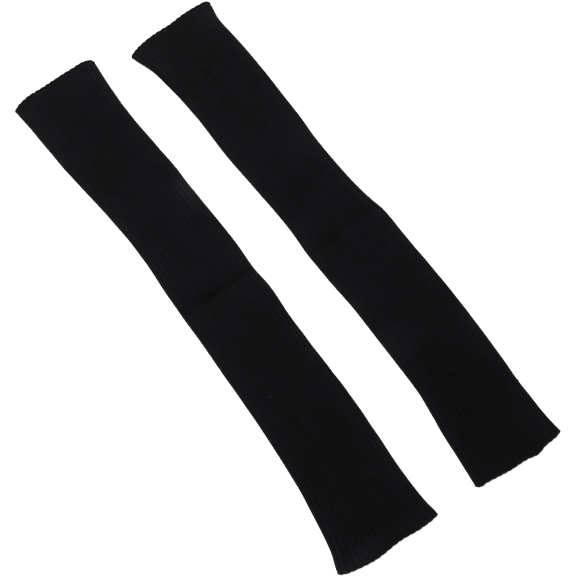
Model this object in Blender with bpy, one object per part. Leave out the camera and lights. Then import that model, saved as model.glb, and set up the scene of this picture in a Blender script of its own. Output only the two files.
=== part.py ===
# A pair of black rib-knit arm warmers, lying flat side by side.
#
# Each one is a circular-knitted tube, open at both ends, pressed flat so that its two layers lie on
# each other. +Z is up, +Y runs along the pair towards the hand ends, and the origin is under the
# middle of the pair, on the surface that it lies on. Sizes are in millimetres until a mesh is made.

import math
from collections import namedtuple

import bpy
import numpy as np

MM = 0.001

# The knitted wall and how it lies.
WALL = 1.4  # cloth, without its ribs
LEAST_GAP = 0.4  # air between the layers where a crease presses them together
LOFT = 1.0  # what the upper layer stands above that elsewhere
THICKNESS = 2 * WALL + LEAST_GAP + LOFT
SIDE_RADIUS = THICKNESS / 2

# The ribs run lengthwise. They are raised in the outer side of the upper layer and of the side folds.
RIBS_PER_FACE = 17
RIB_HEIGHT = 0.6
RIB_PROFILE = (0.0, 0.8, 1.0, 0.8)  # share of the height, at even steps from one groove to the next
SCALLOP = 0.6  # how far a groove draws the hem in, between two ribs
UNDER_GROOVE = 0.5  # the underside's hem lies midway between ribs and grooves

FOLD_END_BLUR = 0.04  # share of the width over which a short fold fades at its ends

# The smooth underside has one strip under each inner strip of the upper layer.
UNDER_STRIPS = RIBS_PER_FACE - 2
SIDE_STEPS = 3  # steps round the lower quarter of a side fold

# Sections along a tube.
SECTION_SPACING = 27.0
SECTIONS_AT_HEM = (0.0, 3.0, 9.0)  # distances from a hem
SECTIONS_AT_CREASE = (-12.0, -6.0, 0.0, 6.0, 12.0)  # distances from a crease
LEAST_SPACING = 2.9
CLEAR_OF_OTHERS = SECTION_SPACING / 3

KNIT_COLOUR = (0.0065, 0.0064, 0.0075, 1.0)
KNIT_ROUGHNESS = 0.92
SHARP_ANGLE = 50  # degrees between two faces, from which their edge isn't shaded smooth

# Each tube has its own frame: along it from its middle, positive towards the hand end, and across it
# from left to right. A share is a share of its width, from the left side fold to the right one.
# Side: where both side folds are, at a place along the tube.
# Hem: how far along the hem lies, at a share.
# Fold: a ridge, or a trough where height is negative, across the upper layer. It lies at along, moves
# by slant from left to right, runs from the share start to the share end, and fades out over reach.
# The first fold of each tube is the crease across its middle.
Side = namedtuple("Side", "along left right")
Hem = namedtuple("Hem", "share along")
Fold = namedtuple("Fold", "along slant start end height reach")
Tube = namedtuple("Tube", "name place turn sides hand_hem arm_hem folds")

LEFT_TUBE = Tube(
    name="arm_warmer_left",
    place=(-61.4, 7.1),
    turn=-1.4,
    sides=(
        Side(-240, -60.5, 42.8),
        Side(-232, -58.2, 41.3),
        Side(-218, -53.4, 40.2),
        Side(-194, -48.2, 39.7),
        Side(-158, -42.7, 41.5),
        Side(-106, -38.2, 43.2),
        Side(-53, -36.3, 42.0),
        Side(0, -34.8, 42.6),
        Side(27, -34.7, 41.2),
        Side(53, -34.2, 41.7),
        Side(88, -32.4, 40.3),
        Side(123, -33.4, 38.5),
        Side(158, -37.1, 36.7),
        Side(194, -41.2, 33.9),
        Side(225, -43.2, 33.7),
        Side(246, -44.4, 34.8),
        Side(260, -46.6, 36.3),
    ),
    hand_hem=(
        Hem(0.00, 261.0),
        Hem(0.05, 263.0),
        Hem(0.17, 264.9),
        Hem(0.40, 264.0),
        Hem(0.75, 262.2),
        Hem(0.94, 259.8),
        Hem(0.98, 257.6),
        Hem(1.00, 254.5),
    ),
    arm_hem=(
        Hem(0.00, -234.5),
        Hem(0.03, -236.8),
        Hem(0.08, -239.0),
        Hem(0.16, -241.2),
        Hem(0.34, -244.8),
        Hem(0.62, -243.9),
        Hem(0.82, -246.0),
        Hem(0.96, -245.5),
        Hem(1.00, -244.2),
    ),
    folds=(
        Fold(26, 4, -0.2, 1.2, -1.0, 7.0),
        Fold(56, -6, -0.2, 0.25, 0.7, 12.0),
        Fold(58, 10, 0.55, 1.2, 0.5, 22.0),
        Fold(115, 0, 0.85, 1.2, 1.0, 13.0),
        Fold(150, 24, 0.0, 0.7, 0.4, 20.0),
        Fold(-62, -16, 0.3, 0.9, -0.4, 14.0),
        Fold(-150, 12, 0.1, 0.8, -0.4, 24.0),
        Fold(-243, 0, 0.03, 0.34, 1.6, 12.0),
        Fold(262, 0, 0.0, 0.9, 0.5, 10.0),
    ),
)

RIGHT_TUBE = Tube(
    name="arm_warmer_right",
    place=(61.4, -7.1),
    turn=1.4,
    sides=(
        Side(-240, -51.6, 38.2),
        Side(-225, -49.5, 37.0),
        Side(-200, -46.2, 36.9),
        Side(-176, -43.3, 37.6),
        Side(-158, -40.4, 39.2),
        Side(-141, -37.8, 40.0),
        Side(-106, -36.2, 41.0),
        Side(-60, -34.8, 41.6),
        Side(-18, -35.4, 41.0),
        Side(18, -35.9, 39.0),
        Side(44, -34.3, 35.6),
        Side(75, -34.3, 34.2),
        Side(106, -35.4, 34.7),
        Side(141, -36.0, 35.9),
        Side(176, -35.1, 36.4),
        Side(211, -37.2, 35.5),
        Side(232, -40.6, 34.8),
        Side(246, -44.6, 37.1),
        Side(254, -47.5, 39.0),
    ),
    hand_hem=(
        Hem(0.00, 250.5),
        Hem(0.03, 252.8),
        Hem(0.20, 255.9),
        Hem(0.36, 255.3),
        Hem(0.52, 253.6),
        Hem(0.70, 253.3),
        Hem(0.93, 250.4),
        Hem(1.00, 247.0),
    ),
    arm_hem=(
        Hem(0.00, -230.8),
        Hem(0.03, -233.4),
        Hem(0.12, -235.5),
        Hem(0.40, -240.0),
        Hem(0.57, -241.6),
        Hem(0.70, -244.3),
        Hem(0.78, -243.0),
        Hem(0.96, -241.8),
        Hem(1.00, -240.4),
    ),
    folds=(
        Fold(13, 4, -0.2, 1.2, -1.0, 7.0),
        Fold(30, -2, -0.2, 1.2, 0.7, 8.0),
        Fold(67, 0, -0.2, 0.8, -0.5, 11.0),
        Fold(94, 8, 0.3, 1.2, 0.5, 14.0),
        Fold(-50, 8, -0.2, 0.45, 0.4, 12.0),
        Fold(-69, 0, -0.2, 0.4, -0.6, 7.0),
        Fold(-103, 6, -0.2, 0.5, 0.7, 10.0),
        Fold(-115, 0, 0.85, 1.2, 0.8, 12.0),
        Fold(-170, -14, 0.2, 0.8, -0.4, 22.0),
        Fold(-238, 0, 0.5, 1.0, 0.5, 12.0),
        Fold(254, 0, 0.0, 0.8, 0.5, 9.0),
    ),
)


def through_rows(positions, values, at):
    """A smooth curve through the rows: cubic pieces with the mean slope of both neighbours at a row."""
    positions = np.asarray(positions, float)
    values = np.asarray(values, float)
    slopes = np.gradient(values, positions)
    at = np.clip(at, positions[0], positions[-1])
    piece = np.clip(np.searchsorted(positions, at) - 1, 0, len(positions) - 2)
    span = positions[piece + 1] - positions[piece]
    t = (at - positions[piece]) / span
    rise = t * t * (3 - 2 * t)
    leave = t * (1 - t) ** 2 * span
    arrive = t * t * (t - 1) * span
    level = values[piece] * (1 - rise) + values[piece + 1] * rise
    return level + leave * slopes[piece] + arrive * slopes[piece + 1]


def side_folds(tube, along):
    """Where the left and the right side fold are at a place along the tube."""
    positions = [row.along for row in tube.sides]
    left = through_rows(positions, [row.left for row in tube.sides], along)
    right = through_rows(positions, [row.right for row in tube.sides], along)
    return left, right


def hem_along(rows, share):
    """How far along a hem lies at a share of the width."""
    return through_rows([row.share for row in rows], [row.along for row in rows], share)


def relief(tube, share, along):
    """Height of all ridges and troughs together, never so low that the two layers would touch."""
    total = np.zeros(np.shape(share))
    for fold in tube.folds:
        centre = fold.along + fold.slant * (share - 0.5)
        ridge = np.exp(-(((along - centre) / fold.reach) ** 2))
        begins = 1 / (1 + np.exp((fold.start - share) / FOLD_END_BLUR))
        ends = 1 / (1 + np.exp((share - fold.end) / FOLD_END_BLUR))
        total = total + fold.height * ridge * begins * ends
    return np.maximum(total, -LOFT)


def upper_arc(width, steps):
    """Points over the top, from the left fold's outermost line to the right one's, evenly along the arc.

    Gives each point's distance from the left, its height, and the direction in which its rib stands."""
    quarter = math.pi / 2 * SIDE_RADIUS
    length = width - 2 * SIDE_RADIUS + 2 * quarter
    way = np.linspace(0, length, steps + 1)
    from_side = np.minimum(way, length - way)
    angle = np.minimum(from_side / SIDE_RADIUS, math.pi / 2)
    inset = SIDE_RADIUS * (1 - np.cos(angle)) + np.maximum(from_side - quarter, 0)
    side = np.where(way < length / 2, -1, 1)
    across = np.where(side < 0, inset, width - inset)
    height = SIDE_RADIUS * (1 + np.sin(angle))
    return across, height, side * np.cos(angle), np.sin(angle)


def lower_arc(width):
    """Points under the tube from the right fold back to the left one, without the outermost lines."""
    angle = np.linspace(0, math.pi / 2, SIDE_STEPS + 1)[1:]
    inset = SIDE_RADIUS * (1 - np.cos(angle))
    height = SIDE_RADIUS * (1 - np.sin(angle))
    flat = np.linspace(width - SIDE_RADIUS, SIDE_RADIUS, UNDER_STRIPS + 1)[1:-1]
    across = np.concatenate([width - inset, flat, inset[::-1]])
    return across, np.concatenate([height, np.zeros(len(flat)), height[::-1]])


def outer_ring(tube, part, at_hem):
    """The outer points of the section that lies at a part, 0 to 1, of the way to the hand end."""
    middle = (1 - part) * hem_along(tube.arm_hem, 0.5) + part * hem_along(tube.hand_hem, 0.5)
    left, right = side_folds(tube, middle)
    width = right - left
    steps = len(RIB_PROFILE)
    over_across, over_height, lean, rise = upper_arc(width, steps * RIBS_PER_FACE)
    under_across, under_height = lower_arc(width)
    rib = np.array([RIB_PROFILE[k % steps] for k in range(len(over_across))])

    share = np.concatenate([over_across, under_across]) / width
    groove = np.concatenate([1 - rib, np.full(len(under_across), UNDER_GROOVE)])
    arm_end = hem_along(tube.arm_hem, share) + (SCALLOP * groove if at_hem else 0)
    hand_end = hem_along(tube.hand_hem, share) - (SCALLOP * groove if at_hem else 0)
    along = (1 - part) * arm_end + part * hand_end

    left, right = side_folds(tube, along)
    across = left + share * (right - left)
    stretch = 1 + relief(tube, share, along) / THICKNESS
    height = np.concatenate([over_height, under_height]) * stretch
    over = len(over_across)
    across[:over] += RIB_HEIGHT * rib * lean
    height[:over] += RIB_HEIGHT * rib * rise
    return np.column_stack([across, along, height])


def inner_ring(tube, part):
    """The plain inner points of the same section, one for each groove of the upper layer."""
    middle = (1 - part) * hem_along(tube.arm_hem, 0.5) + part * hem_along(tube.hand_hem, 0.5)
    left, right = side_folds(tube, middle)
    width = right - left
    over_across = upper_arc(width, RIBS_PER_FACE)[0]
    under_across = lower_arc(width)[0][SIDE_STEPS - 1 : -SIDE_STEPS + 1]
    across = np.concatenate([over_across, under_across])
    share = across / width
    inset = WALL / width
    along = (1 - part) * hem_along(tube.arm_hem, share) + part * hem_along(tube.hand_hem, share)
    left, right = side_folds(tube, along)
    across = left + np.clip(share, inset, 1 - inset) * (right - left)
    thickness = THICKNESS + relief(tube, share, along)
    over = len(over_across)
    height = np.where(np.arange(len(across)) < over, thickness - WALL, WALL)
    height[0] = thickness[0] / 2
    height[over - 1] = thickness[over - 1] / 2
    return np.column_stack([across, along, height])


def section_parts(tube):
    """Where the sections lie: evenly, and closer together at the crease and at both hems."""
    low = hem_along(tube.arm_hem, 0.5)
    high = hem_along(tube.hand_hem, 0.5)
    wanted = [low + distance for distance in SECTIONS_AT_HEM]
    wanted += [high - distance for distance in SECTIONS_AT_HEM]
    wanted += [tube.folds[0].along + distance for distance in SECTIONS_AT_CREASE]
    count = round((high - low) / SECTION_SPACING)
    for step in range(1, count):
        place = low + (high - low) * step / count
        if min(abs(place - other) for other in wanted) > CLEAR_OF_OTHERS:
            wanted.append(place)
    kept = []
    for place in sorted(wanted):
        if not kept or place - kept[-1] > LEAST_SPACING:
            kept.append(place)
    return [(place - low) / (high - low) for place in kept]


def hem_faces(outer, inner, facing_hand):
    """The strip that joins the outer and the inner points of a tube's end, one cell for each rib."""
    steps = len(RIB_PROFILE)
    cells = [steps] * RIBS_PER_FACE + [SIDE_STEPS] + [1] * UNDER_STRIPS + [SIDE_STEPS]
    faces = []
    first = 0
    for cell, count in enumerate(cells):
        near = inner[cell]
        far = inner[(cell + 1) % len(inner)]
        chain = [outer[(first + k) % len(outer)] for k in range(count + 1)]
        half = (count + 1) // 2
        faces += [(near, chain[k + 1], chain[k]) for k in range(half)]
        faces.append((near, far, chain[half]))
        faces += [(far, chain[k + 1], chain[k]) for k in range(half, count)]
        first += count
    if facing_hand:
        faces = [face[::-1] for face in faces]
    return faces


def make_tube(tube):
    """The points and faces of one arm warmer, in its own frame."""
    parts = section_parts(tube)
    points = []
    outer = []
    inner = []
    for part in parts:
        ring = outer_ring(tube, part, at_hem=part in (parts[0], parts[-1]))
        outer.append(range(len(points), len(points) + len(ring)))
        points.extend(ring)
        ring = inner_ring(tube, part)
        inner.append(range(len(points), len(points) + len(ring)))
        points.extend(ring)
    faces = []
    for rings, outwards in ((outer, True), (inner, False)):
        for near, far in zip(rings[:-1], rings[1:]):
            for k in range(len(near)):
                after = (k + 1) % len(near)
                face = (near[k], near[after], far[after], far[k])
                faces.append(face if outwards else face[::-1])
    faces += hem_faces(outer[0], inner[0], facing_hand=False)
    faces += hem_faces(outer[-1], inner[-1], facing_hand=True)
    return np.array(points), faces


def placed(tube, points):
    """Turns a tube and moves it to where it lies in the pair."""
    turn = math.radians(tube.turn)
    x = points[:, 0] * math.cos(turn) - points[:, 1] * math.sin(turn) + tube.place[0]
    y = points[:, 0] * math.sin(turn) + points[:, 1] * math.cos(turn) + tube.place[1]
    return np.column_stack([x, y, points[:, 2]])


def knit_material(name):
    """Matt black knitting yarn."""
    material = bpy.data.materials.new(name)
    material.use_nodes = True
    shader = material.node_tree.nodes["Principled BSDF"]
    shader.inputs["Base Color"].default_value = KNIT_COLOUR
    shader.inputs["Roughness"].default_value = KNIT_ROUGHNESS
    shader.inputs["Metallic"].default_value = 0.0
    material.diffuse_color = KNIT_COLOUR
    return material


def add_object(name, points, faces):
    mesh = bpy.data.meshes.new(name)
    mesh.from_pydata((points * MM).tolist(), [], faces)
    mesh.validate()
    mesh.shade_smooth()
    mesh.set_sharp_from_angle(angle=math.radians(SHARP_ANGLE))
    mesh.materials.append(knit_material(name + "_knit"))
    bpy.context.scene.collection.objects.link(bpy.data.objects.new(name, mesh))


def main():
    for old in list(bpy.data.objects):
        bpy.data.objects.remove(old, do_unlink=True)
    tubes = (LEFT_TUBE, RIGHT_TUBE)
    shapes = [make_tube(tube) for tube in tubes]
    points = [placed(tube, shape[0]) for tube, shape in zip(tubes, shapes)]
    everything = np.concatenate(points)
    centre = (everything.min(axis=0) + everything.max(axis=0)) / 2
    centre[2] = 0
    for tube, place, shape in zip(tubes, points, shapes):
        add_object(tube.name, place - centre, shape[1])


main()
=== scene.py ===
import math

import bpy
import numpy as np
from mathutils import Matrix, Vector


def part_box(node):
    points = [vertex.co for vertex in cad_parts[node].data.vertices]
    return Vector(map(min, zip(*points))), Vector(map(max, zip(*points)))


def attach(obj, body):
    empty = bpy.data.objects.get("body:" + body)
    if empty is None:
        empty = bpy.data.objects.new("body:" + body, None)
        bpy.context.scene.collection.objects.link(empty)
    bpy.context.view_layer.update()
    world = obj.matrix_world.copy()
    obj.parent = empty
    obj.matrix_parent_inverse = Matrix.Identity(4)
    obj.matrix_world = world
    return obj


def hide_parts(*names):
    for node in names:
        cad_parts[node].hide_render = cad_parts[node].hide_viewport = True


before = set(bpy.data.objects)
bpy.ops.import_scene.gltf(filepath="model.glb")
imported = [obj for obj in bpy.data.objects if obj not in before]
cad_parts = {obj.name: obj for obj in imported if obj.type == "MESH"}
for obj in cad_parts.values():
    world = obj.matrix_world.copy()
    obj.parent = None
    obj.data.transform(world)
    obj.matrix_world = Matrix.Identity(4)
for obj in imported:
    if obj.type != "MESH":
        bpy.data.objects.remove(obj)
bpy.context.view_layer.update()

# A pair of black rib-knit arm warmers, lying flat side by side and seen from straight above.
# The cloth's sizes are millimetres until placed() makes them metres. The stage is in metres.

mm = 0.001
tau = 2 * math.pi

# The knit that both tubes are made of.
knit = {
    "wall": 1.4,                # cloth without its ribs
    "leastGap": 0.4,            # air between the two layers in a pressed crease
    "loft": 1.0,                # how much higher the upper layer lies elsewhere
    "lowest": -1.25,            # how far a fold can press the upper layer down
    "lowestBlur": 0.25,         # and how softly it stops there
    "leastHeight": 0.02,        # no cloth or yarn comes nearer to the surface below
    "foldEndBlur": 0.08,        # over how much of the width a fold ends
    "ribsPerFace": 17,
    "ribSteps": (0, 0.09, 0.175, 0.34, 0.5, 0.66, 0.825, 0.91),     # from one groove to the next
    "ribForm": (0, 0.4, 0.76, 1, 0.92, 1, 0.76, 0.4),               # two plain wales stand on each rib
    "stitchesPerRib": 4,
    "courseHeight": 1.05,
    "rowSpacing": 2.05,
    "innerEvery": 4,            # the inside has one column for so many outside
    "hemInset": 1.05,           # from the hem's line to the last full row, with room for lip and binding
    "lipSteps": 6,
    "scallop": 0.42,            # how far a groove draws the hem in
    "hemLift": 0.38,            # how far its binding holds the lower layer's hem off the surface
    "hemReach": 4.0,            # how far in from the hem those two are felt
    # Unevenness: how much, and its shortest wave, in ribs round the tube and in mm along it
    "ribSway": (0.16, 6, 70),           # how far a rib strays from its line, in ribs
    "ribUneven": (0.14, 3, 30),         # how much its height varies, as a share of it
    "surfaceUneven": (0.1, 7, 24),      # the same for the whole surface, in rib heights
    "waveCount": 14,
    "slowestWave": 0.3,         # along the tube, as a share of the quickest
    "waveCrest": 1.4,           # brings their sum to about -1 to 1
    # Painted sheen on raised fibres along the side folds and the hems, and how far it reaches
    "sideFuzzAndSheen": 0.5,
    "sideFuzzAndSheenReach": 8.0,
    "hemFuzzAndSheen": 0.32,
    "hemFuzzAndSheenReach": 3.0,
    "groovePress": 1.3,         # how much painted shade a groove gives, as fibres pressed in, for each mm of its depth
}

# What lies on each tube, where across is a place from its middle line and share one from its left side
# fold to its right one. Along runs from the arm hem, below 0, to the hand hem.
#   sides: along, left fold, right fold          handHem, armHem: share, along
#   crease: along, slant, depth, reach towards the hand, reach towards the arm
#   folds: along, slant, first share, last share, height (below 0 a trough), reach
#   grooves: across and along of one end, the same of the other end, depth, reach
#   lightened places: share, along, reach across, reach along, how much lighter the cloth is there (below 0
#       less light)
#   lint, pill: across, along, size, seed
leftTube = {
    "node": "arm_warmer_left",
    "turn": -1.4,               # degrees
    "seed": 11,
    "ribHeight": 0.6,           # at the tube's middle
    "sides": [
        (-240, -60.0, 43.3), (-232, -58.3, 41.8), (-218, -53.3, 40.8), (-194, -48.3, 40.4),
        (-158, -42.7, 42.0), (-106, -38.2, 43.2), (-53, -36.4, 42.2), (-30, -35.8, 41.9),
        (6, -34.8, 43.2), (27, -34.8, 41.4), (53, -34.1, 41.9), (88, -32.2, 40.3),
        (117, -32.8, 39.0), (140, -35.0, 38.4), (158, -36.9, 37.0), (194, -41.0, 34.1),
        (225, -43.1, 33.9), (246, -44.2, 35.1), (260, -45.8, 36.5),
    ],
    "handHem": [
        (0, 261.7), (0.05, 263.5), (0.17, 265.2), (0.4, 264.0), (0.75, 262.2), (0.94, 259.9),
        (0.98, 258.1), (1, 255.5),
    ],
    "armHem": [
        (0, -235.1), (0.03, -237.1), (0.08, -239.2), (0.16, -241.2), (0.34, -244.4), (0.62, -243.9),
        (0.82, -246.0), (0.96, -245.5), (1, -244.8),
    ],
    "crease": (26.4, -4, 1.0, 6, 18),
    "folds": [
        (249, -13, 0.1, 1.5, 1.6, 34),
        (197, 3, -0.3, 1.5, 1.1, 40),
        (190, -3, 0.55, 1.0, -1.2, 18),
        (166, 0, 0.45, 0.95, -1.4, 17),
        (144, -21, 0.2, 1.4, -1.3, 18),
        (131, -15, 0.75, 1.2, -0.8, 13),
        (110, -23, 0.75, 1.5, 1.8, 24),
        (104, 20, 0.6, 0.75, -1.7, 19),
        (39, -5, -0.5, 1.5, 1.6, 33),
        (-9, 25, 0.3, 1.1, 1.8, 35),
        (-159, 25, 0.0, 1.6, -1.2, 36),
        (-240, 0, 0.05, 0.33, 2.0, 9),
    ],
    "grooves": [],
    "lightened": [
        (1, 116, 10, 19, 0.4),
        (0.62, 112, 18, 22, 0.07),
        (0, 130, 4, 12, 0.25),
        (0, -40, 3, 12, 0.2),
        (0, -225, 6, 15, 0.4),
        (0.27, -240, 24, 13, 0.5),
        (0.8, -238, 26, 10, 0.2),
    ],
    "lint": [(-11.8, 81, 0.72, 3), (-14, -74.2, 0.78, 4)],
    "pill": [],
}

rightTube = {
    "node": "arm_warmer_right",
    "turn": 1.4,
    "seed": 23,
    "ribHeight": 0.47,
    "sides": [
        (-240, -51.7, 38.7), (-225, -49.4, 37.4), (-200, -46.3, 37.4), (-176, -43.5, 38.2),
        (-158, -40.4, 39.6), (-141, -37.6, 40.4), (-106, -36.0, 42.0), (-60, -34.8, 42.0),
        (-40, -34.4, 41.7), (-18, -35.3, 41.3), (12, -35.9, 40.7), (20, -35.9, 39.0),
        (44, -34.1, 35.8), (75, -34.2, 34.5), (98, -34.9, 34.5), (116, -35.9, 35.9),
        (141, -35.9, 36.1), (176, -35.2, 36.8), (211, -37.2, 35.7), (232, -40.0, 34.6),
        (246, -44.5, 37.5), (254, -47.1, 38.8),
    ],
    "handHem": [
        (0, 252.6), (0.03, 254.0), (0.08, 255.1), (0.2, 256.3), (0.36, 255.8), (0.52, 254.0),
        (0.7, 253.5), (0.9, 251.0), (0.97, 249.5), (1, 247.1),
    ],
    "armHem": [
        (0, -231.7), (0.03, -233.9), (0.12, -235.2), (0.4, -240.0), (0.57, -241.6), (0.7, -244.3),
        (0.78, -242.8), (0.96, -241.9), (1, -240.8),
    ],
    "crease": (15.4, -1, 0.6, 7, 10),
    "folds": [
        (226, -2, -0.5, 1.5, 1.4, 35),
        (147, -27, 0.65, 1.05, -1.5, 26),
        (93, -27, 0.5, 0.85, 1.8, 22),
        (53, 12, 0.05, 0.5, -1.2, 20),
        (36, -1, 0.45, 0.95, 1.8, 30),
        (4, 27, -0.3, 0.45, -1.2, 17),
        (-19, -8, 0.3, 0.45, -1.8, 13),
        (-23, -5, 0.45, 0.8, 1.8, 38),
        (-36, -10, 0.0, 0.4, -0.9, 14),
        (-67, 11, 0.1, 0.2, -1.8, 14),
        (-107, -8, -0.5, 0.9, 1.6, 21),
        (-111, 20, 0.55, 1.5, -1.8, 20),
        (-130, 13, 0.0, 0.35, 1.6, 39),
        (-192, 21, 0.7, 0.95, -1.8, 21),
    ],
    "grooves": [(-3.0, 201, -2.3, 184, 0.7, 1.4)],
    "lightened": [
        (1, 238, 5, 12, 0.25),
        (1, 190, 3, 22, 0.18),
        (0, 216, 5, 20, -0.35),
        (0, -15, 3, 10, 0.25),
        (0, -45, 3, 12, 0.35),
        (0, -205, 3, 14, 0.25),
        (1, -114, 4, 16, 0.25),
        (0.5, -215, 45, 30, 0.04),
        (0.3, -240, 40, 16, 0.15),
        (0.9, -232, 14, 12, 0.1),
    ],
    "lint": [],
    "pill": [(37.2, -182, 0.9, 9)],
}

thickness = 2 * knit["wall"] + knit["leastGap"] + knit["loft"]
sideRadius = thickness / 2
ribsRound = 2 * knit["ribsPerFace"]


# Surfaces


def throughRows(rows, column, at):
    # Cubic pieces p(t) = y0 + (y1 - y0)(3t^2 - 2t^3) + m0 t(1 - t)^2 + m1 t^2(t - 1), with slopes m
    # from the rows on both sides, so the line runs smoothly through every row.
    table = np.array(rows, float)
    place, value = table[:, 0], table[:, column]
    slope = np.gradient(value, place)
    at = np.clip(at, place[0], place[-1])
    piece = np.clip(np.searchsorted(place, at) - 1, 0, len(place) - 2)
    span = place[piece + 1] - place[piece]
    t = (at - place[piece]) / span
    leave = slope[piece] * span * t * (1 - t) ** 2
    arrive = slope[piece + 1] * span * t * t * (t - 1)
    return value[piece] + (value[piece + 1] - value[piece]) * t * t * (3 - 2 * t) + leave + arrive


def unevenness(kind, seed, turn, along):
    # The sum of sine waves sin(2 pi (a x + b y) + c), brought to about -1 to 1 and times its amount.
    # Their seeded a is a whole number of waves round the tube.
    amount, waveAround, waveAlong = knit[kind]
    draw = np.random.default_rng(seed)
    most = round(ribsRound / waveAround)
    total = 0
    for wave in range(knit["waveCount"]):
        a = draw.integers(-most, most + 1) / ribsRound
        b = draw.uniform(knit["slowestWave"], 1.0) / waveAlong
        total = total + np.sin(tau * (a * turn + b * along) + draw.uniform(0, tau))
    return amount * (total / math.sqrt(knit["waveCount"]) / knit["waveCrest"])


def grooved(tube, across, along):
    # The sum of h exp(-(r / reach)^2), with r the distance from a short line along the tube.
    total = 0
    for x1, y1, x2, y2, depth, reach in tube["grooves"]:
        dx, dy = x2 - x1, y2 - y1
        t = np.clip(((across - x1) * dx + (along - y1) * dy) / (dx * dx + dy * dy), 0, 1)
        squared = (across - x1 - t * dx) ** 2 + (along - y1 - t * dy) ** 2
        total = total + depth * np.exp(-squared / reach**2)
    return total


def relief(tube, share, across, along):
    # The pressed crease is -h exp(-|d| / reach), with one reach on each side. Each fold is the ridge
    # h exp(-(d / reach)^2), faded at its two ends over the width. Here d = y - y0 - slant (s - 1/2).
    # The grooves are taken off, and the sum stops softly at the lowest place that the layers allow:
    # lowest + b ln(1 + exp((sum - lowest) / b)).
    place, slant, depth, handReach, armReach = tube["crease"]
    off = along - place - slant * (share - 0.5)
    total = -depth * np.exp(-np.where(off > 0, off / handReach, -off / armReach))
    for place, slant, start, end, height, reach in tube["folds"]:
        ridge = np.exp(-(((along - place - slant * (share - 0.5)) / reach) ** 2))
        begins = 1 / (1 + np.exp((start - share) / knit["foldEndBlur"]))
        ends = 1 / (1 + np.exp((share - end) / knit["foldEndBlur"]))
        total = total + height * ridge * begins * ends
    total = total - grooved(tube, across, along)
    lowest, blur = knit["lowest"], knit["lowestBlur"]
    return lowest + np.logaddexp(0, (total - lowest) / blur) * blur


def tubeLength(tube):
    # From hem to hem, at the middle of the width.
    return throughRows(tube["handHem"], 1, 0.5) - throughRows(tube["armHem"], 1, 0.5)


def tubeWidth(tube, along):
    # From side fold to side fold.
    return throughRows(tube["sides"], 2, along) - throughRows(tube["sides"], 1, along)


def tubeWall(tube, part, turn, rib, drawIn, lift, inner):
    # Turn runs in ribs: over the top from the left fold to the right one, then back underneath. The
    # section is two half circles of radius R joined by flat stretches, way = turn / ribs of its length.
    # Part runs from the arm hem to the hand hem: y = (1 - part) arm(s) + part hand(s). Across is
    # left(y) + (right(y) - left(y)) s, and the height goes from 0 underneath to the thickness and its
    # relief on top. The outside stands out from there by the ribs, and the inside is a wall further in.
    face = knit["ribsPerFace"]
    turn = turn % ribsRound
    over = turn <= face
    way = np.where(over, turn, ribsRound - turn) / face
    armMiddle = throughRows(tube["armHem"], 1, 0.5)
    width = tubeWidth(tube, armMiddle + part * tubeLength(tube))
    quarter = math.pi / 2 * sideRadius
    length = width - 2 * sideRadius + 2 * quarter
    fromSide = np.minimum(way, 1 - way) * length
    angle = np.minimum(fromSide / sideRadius, math.pi / 2)
    inset = sideRadius * (1 - np.cos(angle)) + np.maximum(fromSide - quarter, 0)
    share = np.where(way < 0.5, inset, width - inset) / width
    arm = throughRows(tube["armHem"], 1, share) + drawIn
    hand = throughRows(tube["handHem"], 1, share) - drawIn
    along = (1 - part) * arm + part * hand
    left = throughRows(tube["sides"], 1, along)
    right = throughRows(tube["sides"], 2, along)
    up = np.where(over, 1, -1)
    lean = np.where(way < 0.5, -1, 1) * np.cos(angle)
    rise = up * np.sin(angle)
    high = thickness + relief(tube, share, left + (right - left) * share, along)
    if inner:
        radius = sideRadius - knit["wall"]
        across = left + (right - left) * share - knit["wall"] * lean
        gap = (high - 2 * knit["wall"]) / (2 * radius)
        height = knit["wall"] + radius * (1 + rise) * gap + lift * (1 - rise) / 2
    else:
        sunk = np.where(over, 0, np.sin(angle))     # underneath, the surface presses the ribs flat
        flatter = (tubeWidth(tube, 0) / width) ** 2      # the wider the tube is stretched, the lower
        stand = tube["ribHeight"] * flatter * (rib - sunk)
        across = left + (right - left) * share + stand * lean
        height = sideRadius * (1 + rise) * high / thickness + stand * rise + lift * (1 - rise) / 2
    return np.stack([across, along, height], -1), share


def fuzzAndSheenOf(tube, share, across, along, top):
    # The cloth is painted lighter near the side folds and hems, as sheen on raised fibres: a exp(-x /
    # reach), with x the distance from the nearer side fold, the same from the nearer hem, and
    # b exp(-(dx / rx)^2 - (dy / ry)^2) for each lighter place. In a groove on the top it gets painted
    # shade, as fibres pressed in. The sum runs from -1, shaded, to 1.
    width = tubeWidth(tube, along)
    fromSide = np.minimum(share, 1 - share) * width
    fromArm = along - throughRows(tube["armHem"], 1, share)
    fromHand = throughRows(tube["handHem"], 1, share) - along
    fromHem = np.maximum(np.minimum(fromArm, fromHand), 0)
    # Painted sheen along the side folds and the hems.
    total = knit["sideFuzzAndSheen"] * np.exp(-fromSide / knit["sideFuzzAndSheenReach"])
    total = total + knit["hemFuzzAndSheen"] * np.exp(-fromHem / knit["hemFuzzAndSheenReach"])
    for place, at, reachAcross, reachAlong, amount in tube["lightened"]:
        off = ((share - place) * width / reachAcross) ** 2 + ((along - at) / reachAlong) ** 2
        total = total + amount * np.exp(-off)
    # A groove on the top gets painted shade, as fibres pressed in.
    pressed = knit["groovePress"] * grooved(tube, across, along) * top
    return np.clip(np.maximum(total, 0) - pressed, -1, 1)


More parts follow.
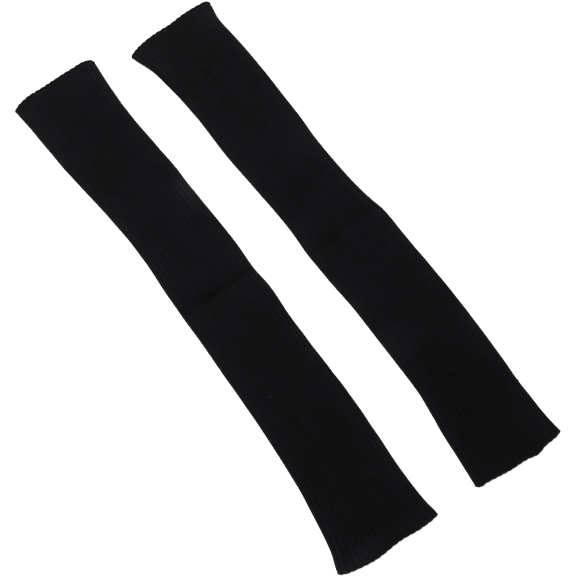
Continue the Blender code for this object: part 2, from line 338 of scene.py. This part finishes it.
def placed(tube, points, shift=None):
    # Turns a tube about +Z, and moves the middle of its box to the middle of its node's box.
    angle = math.radians(tube["turn"])
    x = points[..., 0] * math.cos(angle) - points[..., 1] * math.sin(angle)
    y = points[..., 0] * math.sin(angle) + points[..., 1] * math.cos(angle)
    flat = np.stack([x, y, points[..., 2]], -1) * mm
    if shift is None:
        low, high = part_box(tube["node"])
        seen = flat.reshape(-1, 3)
        middle = (seen.min(0) + seen.max(0)) / 2
        shift = np.array([(low[0] + high[0]) / 2 - middle[0], (low[1] + high[1]) / 2 - middle[1], 0])
    return flat + shift, shift


def gridFaces(rows, columns, first=0):
    # Face (i, j) has the corners (i, j), (i, j+1), (i+1, j+1), (i+1, j). The last column meets the
    # first. Gives the faces, and the row and the column of each corner.
    i, j = np.meshgrid(np.arange(rows - 1), np.arange(columns), indexing="ij")
    i, j = i.ravel(), j.ravel()
    cornerRow = np.stack([i, i, i + 1, i + 1], 1)
    cornerColumn = np.stack([j, j + 1, j + 1, j], 1)
    return first + cornerRow * columns + cornerColumn % columns, cornerRow, cornerColumn


def addMesh(name, points, faces, maps, material, levels=None):
    # Faces are arrays of corner numbers, and maps gives each UV map as arrays of the same lengths.
    # Levels are numbers for each point.
    mesh = bpy.data.meshes.new(name)
    everyFace = [face for group in faces for face in group.tolist()]
    mesh.from_pydata(points.reshape(-1, 3).tolist(), [], everyFace)
    for mapName, groups in maps.items():
        layer = mesh.uv_layers.new(name=mapName)
        flat = np.concatenate([group.reshape(-1, 2) for group in groups])
        layer.uv.foreach_set("vector", flat.astype(np.float32).ravel())
    for levelName, values in (levels or {}).items():
        level = mesh.attributes.new(levelName, "FLOAT", "POINT")
        level.data.foreach_set("value", values.astype(np.float32).ravel())
    mesh.shade_smooth()
    mesh.materials.append(material)
    piece = bpy.data.objects.new(name, mesh)
    bpy.context.scene.collection.objects.link(piece)
    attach(piece, "root")
    return piece


# Shader maths


class Sum:
    # Wraps a socket, so that an expression in Python adds its Math nodes.
    def __init__(self, tree, socket):
        self.tree, self.socket = tree, socket

    def node(self, kind, settings=None, values=None, output=0):
        # Adds a node with its settings and then the values or links of its sockets.
        made = self.tree.nodes.new(kind)
        for key, value in (settings or {}).items():
            setattr(made, key, value)
        for key, value in (values or {}).items():
            if isinstance(value, Sum):
                self.tree.links.new(value.socket, made.inputs[key])
            else:
                made.inputs[key].default_value = value
        return Sum(self.tree, made.outputs[output])

    def math(self, operation, *values):
        return self.node("ShaderNodeMath", {"operation": operation}, dict(enumerate(values)))

    def __add__(self, other):
        return self.math("ADD", self, other)

    def __radd__(self, other):
        return self.math("ADD", other, self)

    def __sub__(self, other):
        return self.math("SUBTRACT", self, other)

    def __rsub__(self, other):
        return self.math("SUBTRACT", other, self)

    def __mul__(self, other):
        return self.math("MULTIPLY", self, other)

    def __rmul__(self, other):
        return self.math("MULTIPLY", other, self)

    def __truediv__(self, other):
        return self.math("DIVIDE", self, other)

    def __pow__(self, other):
        return self.math("POWER", self, other)

    def __abs__(self):
        return self.math("ABSOLUTE", self)

    def sine(self):
        return self.math("SINE", self)

    def fraction(self):
        return self.math("FRACT", self)

    def least(self, other):
        return self.math("MINIMUM", self, other)

    def most(self, other):
        return self.math("MAXIMUM", self, other)

    def clipped(self):
        return self.most(0.0).least(1.0)

    def feeds(self, socket):
        self.tree.links.new(self.socket, socket)


def startMaterial(name, finish):
    # A Principled material with the values that are the same all over it.
    material = bpy.data.materials.new(name)
    material.use_nodes = True
    shader = material.node_tree.nodes["Principled BSDF"]
    for socket, value in finish.items():
        shader.inputs[socket].default_value = value
    return material, shader, Sum(material.node_tree, None)


def readMap(start, name):
    # A UV map as its two numbers.
    place = start.node("ShaderNodeUVMap", {"uv_map": name})
    return [start.node("ShaderNodeSeparateXYZ", values={0: place}, output=axis) for axis in "XY"]


def noise(where, grain):
    # Blender's noise at a place, with the scale, detail and roughness of its grain.
    scale, detail, roughness = grain
    return where.node("ShaderNodeTexNoise", values={
        "Vector": where, "Scale": scale, "Detail": detail, "Roughness": roughness})


def cycle(x):
    # 0.5 + 0.5 cos(2 pi x)
    return (x * tau + math.pi / 2).sine() * 0.5 + 0.5


def between(share, dark, light):
    # The colour (1 - share) dark + share light. A Mix node's colours are its sockets 6, 7 and 2.
    return share.node("ShaderNodeMix", {"data_type": "RGBA"}, {0: share, 6: dark, 7: light}, output=2)


def bump(height, depth, **below):
    # Height times depth, on the surface or on the bump below.
    return height.node("ShaderNodeBump", values={
        "Strength": 1.0, "Distance": depth * mm, "Height": height, **below})


# What the yarn looks like. A grain is a noise's scale, detail and roughness.
yarn = {
    # The cloth runs from the first colour to the second: painted shade in its grooves and between its
    # stitches, besides its random tone. The third is the lighter colour of stray fibres and of painted
    # sheen.
    "groove": (0.0035, 0.0034, 0.0041, 1),
    "lightAndLit": (0.0057, 0.0056, 0.0068, 1),
    "fuzzAndSheen": (0.0125, 0.0123, 0.0145, 1),
    "finish": {
        "Roughness": 0.75, "Specular IOR Level": 0.03, "Sheen Weight": 0.03, "Sheen Roughness": 0.55,
        "Sheen Tint": (0.45, 0.45, 0.5, 1),
    },
    "roughnessSpread": 0.12,
    "stitchDepth": 0.22,
    "fibreDepth": 0.14,         # of which strands and fibres take these shares
    "strandRise": 0.8, "fibreRise": 0.4,
    "driftGrain": (55.0, 2.0, 0.5),
    "drift": 0.9,               # how far the courses stray, in courses
    "legSlope": 0.45,           # how much later a leg ends at its side, in courses
    "legFloor": 0.4,            # how high it is between two stitches, as a share of its top
    "ribHalf": 0.2,             # how far the plain wales reach from a rib's middle, in ribs
    "ribEdge": 12,              # how sharply they end
    "loopHeight": 0.55,         # a purl loop beside a plain stitch
    "gapShadeEdge": 4,               # how sharply the painted shade between two stitches ends
    "strandGrain": (1.0, 2.0, 0.6),
    "strandAcross": 1.6,        # strands for each wale and course
    "strandAlong": 8,
    "fibreGrain": (2600.0, 3.0, 0.65),
    "blotchGrain": (45.0, 4.0, 0.6),
    "patchGrain": (160.0, 3.0, 0.6),
    "streakGrain": (110.0, 2.0, 0.5),
    "streakStretch": 0.22,
    # How much each of them lightens or darkens the cloth. Of these, the stitches' height, the gaps between
    # them and a pressed groove give painted shade.
    "base": 0.14, "stitch": 0.36, "strand": 0.6, "gap": 0.5, "pressed": 0.7,
    "blotch": 0.8, "patch": 1.1, "streak": 1.1, "fibre": 0.5,
    # Stray fibres: how few there are, how sharp they are and how light, and how much the lighter places,
    # raised fibres and painted sheen along folds and hems lighten the cloth
    "looseFrom": 0.66, "looseEdge": 9, "loose": 0.5,
    "lightenedInGroove": 0.7, "lightenedOnRib": 0.5, "lightenedEven": 0.7, "lightenedFibre": 0.6,
    # A single yarn: its plies and fibres, how much each lightens it and how high each stands. The plies'
    # lightening is painted shade, darker between them.
    "plies": 3, "plyGrain": (2600.0, 3.0, 0.5),
    "plyLight": 0.5, "plyFibreLight": 0.6, "plyRise": 0.7, "plyFibreRise": 0.5,
}


def knitMaterial(name):
    # On the map Knit, u counts wales and v courses, which drift a little. On the two wales of a rib
    # each stitch is a V: its legs stand highest a quarter in from its sides,
    # h = (1 - (2 s - 1)^2)^0.5 (f + (1 - f) r), s = |2 frac(u) - 1|, and r = 0.5 + 0.5 cos(2 pi w),
    # w = v + k s, parts each leg from the next, with f the leg's floor and k its slope. In the grooves
    # the purl loops lie across, g = 0.5 + 0.5 cos(2 pi v), and sit lower. The strands of a yarn run
    # along its leg, as noise that is drawn out where w stays the same. The colour has painted shade:
    # it is darker where the stitches lie lower and between them. Where the attribute of fibres and sheen
    # is above 0, raised fibres and painted sheen lighten the cloth. Below 0, in a groove, painted
    # shade darkens it.
    material, shader, start = startMaterial(name, yarn["finish"])
    u, v = readMap(start, "Knit")
    where = start.node("ShaderNodeTexCoord", output="Object")
    v = v + noise(where, yarn["driftGrain"]) * yarn["drift"]
    side = abs(u.fraction() * 2 - 1)
    leg = (1 - (side * 2 - 1) ** 2).most(0.0) ** 0.5
    onLeg = v + side * yarn["legSlope"]
    plain = leg * (cycle(onLeg) * (1 - yarn["legFloor"]) + yarn["legFloor"])
    loops = cycle(v)
    rib = (u / knit["stitchesPerRib"]).fraction()
    onRib = 1 - ((abs(rib - 0.5) - yarn["ribHalf"]) * yarn["ribEdge"]).clipped()
    stitch = plain * onRib + loops * (1 - onRib) * yarn["loopHeight"]
    # The stitches' painted shade: the cloth is lighter where they stand higher.
    stitchShade = plain * onRib + loops * (1 - onRib)
    # Painted shade between the stitches.
    gapShade = (1 - stitchShade * yarn["gapShadeEdge"]).most(0.0)
    drawnOut = start.node("ShaderNodeCombineXYZ", values={
        "X": u * yarn["strandAcross"], "Y": onLeg * yarn["strandAlong"]})
    strands = noise(drawnOut, yarn["strandGrain"])
    fibres = noise(where, yarn["fibreGrain"])
    blotch = noise(where, yarn["blotchGrain"])
    patches = noise(where, yarn["patchGrain"])
    stretched = start.node("ShaderNodeMapping", values={
        "Vector": where, "Scale": (1, yarn["streakStretch"], 1)})
    streaks = noise(stretched, yarn["streakGrain"])
    # The attribute lightens the cloth with raised fibres and painted sheen along the folds and hems, and
    # below 0 darkens it with painted shade in a groove.
    fuzzAndSheen = start.node("ShaderNodeAttribute", {"attribute_name": "fuzzAndSheen"}, output="Fac")
    raisedAndSheen = fuzzAndSheen.most(0.0) * (onRib * yarn["lightenedOnRib"] + yarn["lightenedInGroove"])
    # Below 0 the cloth gets painted shade, in a groove on the top.
    pressed = fuzzAndSheen.least(0.0)
    mottled = (blotch - 0.5) * yarn["blotch"] + (patches - 0.5) * yarn["patch"]
    mottled = mottled + (streaks - 0.5) * yarn["streak"] + (fibres - 0.5) * yarn["fibre"]
    lit = stitchShade * yarn["stitch"] + (strands - 0.5) * yarn["strand"] - gapShade * yarn["gap"]
    lit = (lit + mottled + yarn["base"] + pressed * yarn["pressed"]).clipped()
    loose = ((fibres - yarn["looseFrom"]) * yarn["looseEdge"]).clipped() * (pressed + 1)
    lightened = raisedAndSheen * (yarn["lightenedEven"] + fibres * yarn["lightenedFibre"])
    strayAndSheen = (loose * yarn["loose"] + lightened).least(1.0)
    cloth = between(lit, yarn["groove"], yarn["lightAndLit"])
    between(strayAndSheen, cloth, yarn["fuzzAndSheen"]).feeds(shader.inputs["Base Color"])
    roughness = yarn["finish"]["Roughness"] + (blotch - 0.5) * yarn["roughnessSpread"]
    roughness.feeds(shader.inputs["Roughness"])
    stitchBump = bump(stitch, yarn["stitchDepth"])
    strandRelief = strands * yarn["strandRise"] + fibres * yarn["fibreRise"]
    fibreBump = bump(strandRelief, yarn["fibreDepth"], Normal=stitchBump)
    fibreBump.feeds(shader.inputs["Normal"])
    return material


def yarnMaterial(name, dark, light):
    # On the map Yarn, u goes round the yarn and v along it. Its plies wind as sin(2 pi (n u + v)).
    material, shader, start = startMaterial(name, yarn["finish"])
    u, v = readMap(start, "Yarn")
    ply = ((u * yarn["plies"] + v) * tau).sine() * 0.5 + 0.5
    fibres = noise(start.node("ShaderNodeTexCoord", output="Object"), yarn["plyGrain"])
    # The plies are lighter where they stand higher: painted shade between them.
    lit = (ply * yarn["plyLight"] + fibres * yarn["plyFibreLight"]).least(1.0)
    between(lit, dark, light).feeds(shader.inputs["Base Color"])
    plyRelief = ply * yarn["plyRise"] + fibres * yarn["plyFibreRise"]
    bump(plyRelief, yarn["fibreDepth"]).feeds(shader.inputs["Normal"])
    return material


# The tubes


def tubeWalls(tube):
    # The outside and the inside as grids, with a row for each place along the tube and a column for
    # each place round it, and at each point of the outside how much raised fibres and painted sheen
    # lighten it, and in a groove how much painted shade darkens it. Near a hem, a groove is drawn in and
    # the lower layer lifted by their amounts times exp(-x / reach), x from the hem.
    turn = (np.arange(ribsRound)[:, None] + np.array(knit["ribSteps"])).ravel()[None, :]
    form = np.tile(knit["ribForm"], ribsRound)[None, :]
    length = tubeLength(tube)
    inset = knit["hemInset"] / length
    part = np.linspace(inset, 1 - inset, round(length / knit["rowSpacing"]) + 1)[:, None]
    along = part * length
    sway = unevenness("ribSway", tube["seed"], turn, along)
    heights = form * (1 + unevenness("ribUneven", tube["seed"] + 1, turn, along))
    heights = heights + unevenness("surfaceUneven", tube["seed"] + 2, turn, along)
    nearHem = np.exp(-np.minimum(along, length - along) / knit["hemReach"])
    drawIn = knit["scallop"] * (1 - form) * nearHem
    lift = knit["hemLift"] * nearHem
    outer, share = tubeWall(tube, part, turn + sway, heights, drawIn, lift, inner=False)
    inside = tubeWall(tube, part, turn + sway, heights, drawIn, lift, inner=True)[0]
    fuzzAndSheen = fuzzAndSheenOf(tube, share, outer[..., 0], outer[..., 1], turn < knit["ribsPerFace"])
    outer[..., 2] = np.maximum(outer[..., 2], knit["leastHeight"])
    return outer, inside, fuzzAndSheen


def hemLip(outer, inside, way):
    # Half a circle from the outer wall p to the inner one q: p + (q - p)(1 - cos a) / 2 + r e sin a,
    # with r half their distance and e out of the hem.
    halfTurn = np.linspace(0, math.pi, knit["lipSteps"] + 1)[1:-1, None, None]
    across = inside - outer
    reach = np.linalg.norm(across, axis=-1, keepdims=True) / 2
    out = np.array([0.0, way, 0.0])
    return outer + across * (1 - np.cos(halfTurn)) / 2 + out * reach * np.sin(halfTurn)


def lipFans(skinRows, columns, liningRows):
    # At each hem a fan of triangles joins each column of the lining to its columns on the lip: one for
    # each step round the lip, and one between this lining column and the next. Gives the faces, and
    # the row and the column of each corner. The lining's points come after the skin's.
    every = knit["innerEvery"]
    near = np.arange(columns // every) * every
    far = near + every
    half = every // 2
    fan = [((True, near if step < half else far), (False, near + step + 1), (False, near + step))
           for step in range(every)]
    fan.append(((True, near), (True, far), (False, near + half)))
    faces, cornerRow, cornerColumn = [], [], []
    for lipRow, liningRow, order in ((0, 0, 1), (skinRows - 1, liningRows - 1, -1)):
        lip = lipRow * columns
        lining = skinRows * columns + liningRow * len(near)
        for corners in fan:
            numbers = [lining + place // every % len(near) if onLining else lip + place % columns
                       for onLining, place in corners]
            faces.append(np.stack(numbers[::order], 1))
            cornerColumn.append(np.stack([place for onLining, place in corners][::order], 1))
            cornerRow.append(np.full((len(near), 3), liningRow))
    return np.concatenate(faces), np.concatenate(cornerRow), np.concatenate(cornerColumn)


# Where the tube lies on its baked picture, as start and size: two strips for the two halves of the
# outside's length, and the inside beside them.
bakedAt = {"stripX": (0.004, 0.81), "stripY": (0.006, 0.488), "nextStrip": 0.5,
           "insideX": (0.825, 0.168), "insideY": (0.01, 0.98)}


def laidOutside(row, column, rows, columns):
    # x runs along half of the tube, and y round it.
    startX, sizeX = bakedAt["stripX"]
    startY, sizeY = bakedAt["stripY"]
    part = row / (rows - 1)
    upper = part.mean(1, keepdims=True) > 0.5
    x = np.where(upper, (part - 0.5) * 2, part * 2).clip(0, 1) * sizeX + startX
    y = column / columns * sizeY + startY + np.where(upper, bakedAt["nextStrip"], 0)
    return np.stack([x, y], -1)


def laidInside(row, column, rows, columns):
    # x runs round the tube, and y along it.
    startX, sizeX = bakedAt["insideX"]
    startY, sizeY = bakedAt["insideY"]
    return np.stack([startX + column / columns * sizeX, row / (rows - 1) * sizeY + startY], -1)


def makeTube(tube, material):
    # The skin is the outside with a lip at each hem, and the lining is the inside, with fewer columns.
    outer, inside, fuzzAndSheen = tubeWalls(tube)
    armLip = hemLip(outer[0], inside[0], -1)[::-1]
    handLip = hemLip(outer[-1], inside[-1], 1)
    skin = np.concatenate([armLip, outer, handLip])
    skinFuzzAndSheen = np.concatenate([fuzzAndSheen[:1]] * len(armLip) + [fuzzAndSheen] + [fuzzAndSheen[-1:]] * len(handLip))
    lining = inside[:, :: knit["innerEvery"]]
    rows, columns = outer.shape[:2]
    innerColumns = lining.shape[1]
    skinFaces, skinRow, skinColumn = gridFaces(len(skin), columns)
    liningFaces, liningRow, liningColumn = [
        grid[:, ::-1] for grid in gridFaces(rows, innerColumns, len(skin) * columns)]
    fanFaces, fanRow, fanColumn = lipFans(len(skin), columns, rows)

    # Knit counts wales and courses. OFBake is where the baked picture has each corner.
    courses = tubeLength(tube) / knit["courseHeight"]
    wales = knit["stitchesPerRib"] * ribsRound

    def counted(row, column, rowCount, columnCount):
        return np.stack([column / columnCount * wales, row / (rowCount - 1) * courses], -1)

    maps = {
        "OFBake": [laidOutside(skinRow, skinColumn, len(skin), columns),
                   laidInside(liningRow, liningColumn, rows, innerColumns),
                   laidInside(fanRow, fanColumn, rows, columns)],
        "Knit": [counted(skinRow, skinColumn, len(skin), columns),
                 counted(liningRow, liningColumn, rows, innerColumns),
                 counted(fanRow, fanColumn, rows, columns)],
    }
    points, shift = placed(tube, skin)
    liningPoints = placed(tube, lining, shift)[0]
    everyPoint = np.concatenate([points.reshape(-1, 3), liningPoints.reshape(-1, 3)])
    everyFuzzAndSheen = np.concatenate([skinFuzzAndSheen.ravel(), np.zeros(rows * innerColumns)])
    piece = addMesh(tube["node"] + "_knit", everyPoint, [skinFaces, liningFaces, fanFaces], maps, material,
                    {"fuzzAndSheen": everyFuzzAndSheen})
    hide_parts(tube["node"])
    return piece, outer, inside, shift


def yarnRound(path, guide, radius, sides, turns):
    # A closed round yarn: p + r (cos b s - sin b t) round each point p of the path, with s and t at right
    # angles to it and to each other, set by the guide point below.
    count = len(path)
    ahead = np.roll(path, -1, 0) - np.roll(path, 1, 0)
    ahead /= np.linalg.norm(ahead, axis=1, keepdims=True)
    sideways = np.cross(ahead, path - guide)
    sideways /= np.linalg.norm(sideways, axis=1, keepdims=True)
    upward = np.cross(sideways, ahead)
    ring = (np.arange(sides) / sides * tau)[None, :, None]
    points = path[:, None] + radius * (np.cos(ring) * sideways[:, None] - np.sin(ring) * upward[:, None])
    points[..., 2] = np.maximum(points[..., 2], knit["leastHeight"])
    faces, row, column = gridFaces(count + 1, sides)
    maps = {"Yarn": [np.stack([column / sides, row / count * turns], -1)]}
    return points, faces % (count * sides), maps


# The close binding that is worked over each hem.
binding = {"yarnRadius": 0.4, "spacing": 0.82, "sides": 8, "stepsPerLoop": 10, "twistsPerLoop": 2,
           "sunk": 0.44,        # how deep the yarn is pulled into the cloth
           "dark": (0.0062, 0.0061, 0.0072, 1), "light": (0.0145, 0.0142, 0.0168, 1)}


def makeBinding(tube, outer, inner, way, shift, name, material):
    # The yarn winds round the lip in even loops: p = m + r (cos a n + sin a e), about the line m midway
    # in the wall, with n out of the wall and e out of the hem. Its a grows with the length along m.
    hem = (outer + inner) / 2
    grown = np.concatenate([[0], np.cumsum(np.linalg.norm(np.roll(hem, -1, 0) - hem, axis=1))])
    loops = round(grown[-1] / binding["spacing"])
    count = loops * binding["stepsPerLoop"]
    at = np.interp(np.arange(count) / count * grown[-1], grown, np.arange(len(outer) + 1))
    low = np.floor(at).astype(int)
    mix = (at - low)[:, None]

    def onLine(line):
        return line[low] * (1 - mix) + line[(low + 1) % len(line)] * mix

    outerLine, innerLine = onLine(outer), onLine(inner)
    middle = (outerLine + innerLine) / 2
    across = outerLine - innerLine
    reach = np.linalg.norm(across, axis=1, keepdims=True) / 2
    away = across / (2 * reach)
    out = np.array([0.0, way, 0.0])
    angle = (np.arange(count) / binding["stepsPerLoop"] * tau)[:, None]
    radius = reach + binding["yarnRadius"] - binding["sunk"]
    path = middle + radius * (np.cos(angle) * away + np.sin(angle) * out)
    points, faces, maps = yarnRound(
        path, middle, binding["yarnRadius"], binding["sides"], binding["twistsPerLoop"] * loops)
    return addMesh(name, placed(tube, points, shift)[0], [faces], maps, material)


# Bits of lint on the left tube, and a pill of its own fibre on the right one's side.
tangle = {
    "points": 140, "sides": 5, "twists": 12,
    "waves": (3, 4, 5, 7),      # of which each tangle takes three
    "slimmest": 0.6,            # its least width, as a share of its length
    "flatness": 0.4,            # its height, likewise
    "rests": 0.6,               # how far its middle is above the cloth, as a share of half its height
    "lint": {"radius": 0.09, "dark": (0.022, 0.022, 0.024, 1), "light": (0.05, 0.05, 0.053, 1)},
    "pill": {"radius": 0.18, "dark": (0.006, 0.006, 0.007, 1), "light": (0.02, 0.02, 0.023, 1)},
}


def makeTangle(tube, outer, kind, x, y, size, seed, shift, name, material):
    # One long fibre winds about the middle c, which rests on the cloth at its nearest top point:
    # p(t) = c + size (sin(a t + i), w sin(b t + j), f sin(c t + k)), with seeded whole numbers a, b, c.
    cloth = outer[:, : outer.shape[1] // 2].reshape(-1, 3)
    lies = cloth[np.argmin(np.hypot(cloth[:, 0] - x, cloth[:, 1] - y))]
    middle = np.array([x, y, lies[2] + size * tangle["flatness"] * tangle["rests"]])
    draw = np.random.default_rng(seed)
    waves = draw.permutation(tangle["waves"])[:3]
    start = draw.uniform(0, tau, 3)
    t = (np.arange(tangle["points"]) / tangle["points"] * tau)[:, None]
    flat = np.array([1.0, draw.uniform(tangle["slimmest"], 1.0), tangle["flatness"]])
    path = middle + size * flat * np.sin(waves * t + start)
    wellBelow = middle - (0, 0, 4 * size)
    points, faces, maps = yarnRound(
        path, wellBelow, tangle[kind]["radius"], tangle["sides"], tangle["twists"])
    return addMesh(name, placed(tube, points, shift)[0], [faces], maps, material)


print("making the materials")
knitBlack = knitMaterial("black_rib_knit")
edgeYarn = yarnMaterial("black_edge_yarn", binding["dark"], binding["light"])
tangleYarns = {
    kind: yarnMaterial(name, tangle[kind]["dark"], tangle[kind]["light"])
    for kind, name in (("lint", "grey_lint"), ("pill", "black_pill"))
}
print("making the knit tubes")
for tube in (leftTube, rightTube):
    piece, outer, inside, shift = makeTube(tube, knitBlack)
    bindings = [
        makeBinding(tube, outer[row], inside[row], way, shift, f"{tube['node']}_{end}_hem", edgeYarn)
        for end, row, way in (("arm", 0, -1), ("hand", -1, 1))
    ]
    for kind, tangleYarn in tangleYarns.items():
        for number, (x, y, size, seed) in enumerate(tube[kind]):
            makeTangle(tube, outer, kind, x, y, size, seed, shift,
                       f"{tube['node']}_{kind}_{number + 1}", tangleYarn)
    2 * tubeWidth(tube, 0) * mm
    tubeLength(tube) * mm
    print(piece.name, "has", len(piece.data.polygons), "faces")


# Floor, light and camera
stage = {
    "floorSize": 30.0, "floorDrop": 0.0003,
    "floorFinish": {
        "Base Color": (0.9, 0.9, 0.9, 1), "Roughness": 0.8, "Specular IOR Level": 0.1,
        "Emission Color": (1, 1, 1, 1), "Emission Strength": 0.92,
    },
    # Beyond the floor's edge the room is pale to look at, but gives only this much light
    "roomColour": (0.95, 0.97, 1.0, 1), "roomLight": 0.08, "roomSeen": 0.9,
}
print("making the floor")
half = stage["floorSize"] / 2
corners = [(x * half, y * half, -stage["floorDrop"]) for x, y in ((-1, -1), (1, -1), (1, 1), (-1, 1))]
floorMesh = bpy.data.meshes.new("floor")
floorMesh.from_pydata(corners, [], [(0, 1, 2, 3)])
floor = bpy.data.objects.new("floor", floorMesh)
bpy.context.scene.collection.objects.link(floor)
floorMesh.materials.append(startMaterial("pale_floor", stage["floorFinish"])[0])

# Places and sizes in metres, power in watts, and the spread of the light in degrees.
lamps = {
    "key": {"at": (-0.1, 2.5, 1.01), "size": 1.0, "power": 162, "spread": 180},
    "left": {"at": (-0.9, 0.06, 0.38), "size": 0.45, "power": 0.22, "spread": 48},
    "right": {"at": (0.9, 0.06, 0.38), "size": 0.45, "power": 0.22, "spread": 48},
}
print("making the light")
for name, lamp in lamps.items():
    light = bpy.data.lights.new(name, "AREA")
    light.shape = "SQUARE"
    light.size = lamp["size"]
    light.energy = lamp["power"]
    light.spread = math.radians(lamp["spread"])
    holder = bpy.data.objects.new(name, light)
    x, y, z = lamp["at"]
    holder.location = lamp["at"]
    holder.rotation_euler = (math.atan2(math.hypot(x, y), z), 0, math.atan2(x, -y))
    bpy.context.scene.collection.objects.link(holder)
world = bpy.data.worlds.new("soft_room")
world.use_nodes = True
room = world.node_tree.nodes["Background"]
room.inputs["Color"].default_value = stage["roomColour"]
seen = Sum(world.node_tree, None).node("ShaderNodeLightPath", output="Is Camera Ray")
(seen * stage["roomSeen"] + stage["roomLight"]).feeds(room.inputs["Strength"])
bpy.context.scene.world = world
bpy.context.scene.view_settings.view_transform = "Standard"

# The photograph looks straight down. The picture's middle is a little right of and below the middle
# of its pair.
photo = {
    "size": 576,                # pixels
    "pixel": 0.88,              # mm
    "slope": 52.2,              # degrees from the picture's horizontal down to the tubes
    "pairAt": (276.9, 280.2),   # the pixel at the middle of the pair
    "lens": 100.0, "sensor": 36.0,
}
print("making the camera")
slope = math.radians(photo["slope"])
offX = photo["size"] / 2 - photo["pairAt"][0]
offY = photo["size"] / 2 - photo["pairAt"][1]
targetX = (offX * math.sin(slope) - offY * math.cos(slope)) * photo["pixel"] * mm
targetY = -(offX * math.cos(slope) + offY * math.sin(slope)) * photo["pixel"] * mm
distance = photo["lens"] * photo["size"] * photo["pixel"] * mm / photo["sensor"]
cameraData = bpy.data.cameras.new("camera")
cameraData.lens = photo["lens"]
cameraData.sensor_width = photo["sensor"]
camera = bpy.data.objects.new("camera", cameraData)
camera.location = (targetX, targetY, distance + sideRadius * mm)
camera.rotation_euler = (0, 0, slope - math.pi / 2)
bpy.context.scene.collection.objects.link(camera)
bpy.context.scene.camera = camera
